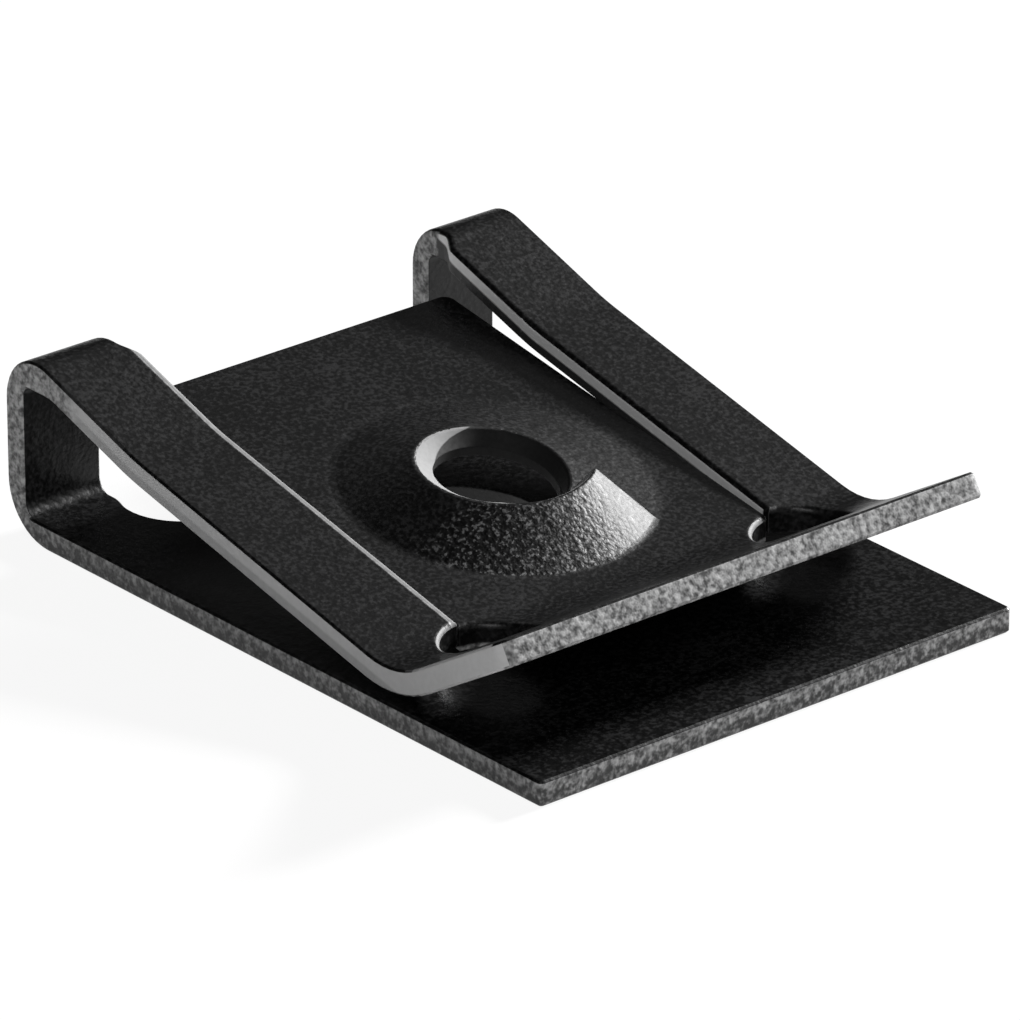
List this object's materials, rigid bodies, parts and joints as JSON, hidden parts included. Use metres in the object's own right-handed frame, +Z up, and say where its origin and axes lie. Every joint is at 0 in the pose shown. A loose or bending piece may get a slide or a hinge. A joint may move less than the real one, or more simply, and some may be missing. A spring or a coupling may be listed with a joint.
{
  "type": "u clip speed nut",
  "caption": "Spring-steel U clip that slides over a panel edge: flat base leaf, two sprung arms, guide lip, and a lanced tongue with a raised helical boss for a tapping screw.",
  "frame": {"origin": "on the underside of the base leaf, at the middle of the clip's length and on the centre line of the tongue and its screw boss (0.1 mm right of the strip's middle)", "axes": "+Z up from the base leaf towards the boss, +Y towards the fold, +X to the right as seen from the open mouth, which faces -Y"},
  "size_m": [0.0162, 0.0218, 0.0053],
  "materials": {
    "black_steel": "matt black phosphate and oil on spring steel, with a fine mottled grain and greyer, coarser sheared edges"
  },
  "bodies": {
    "root": {"spring_clip": "black_steel"}
  },
  "joints": []
}
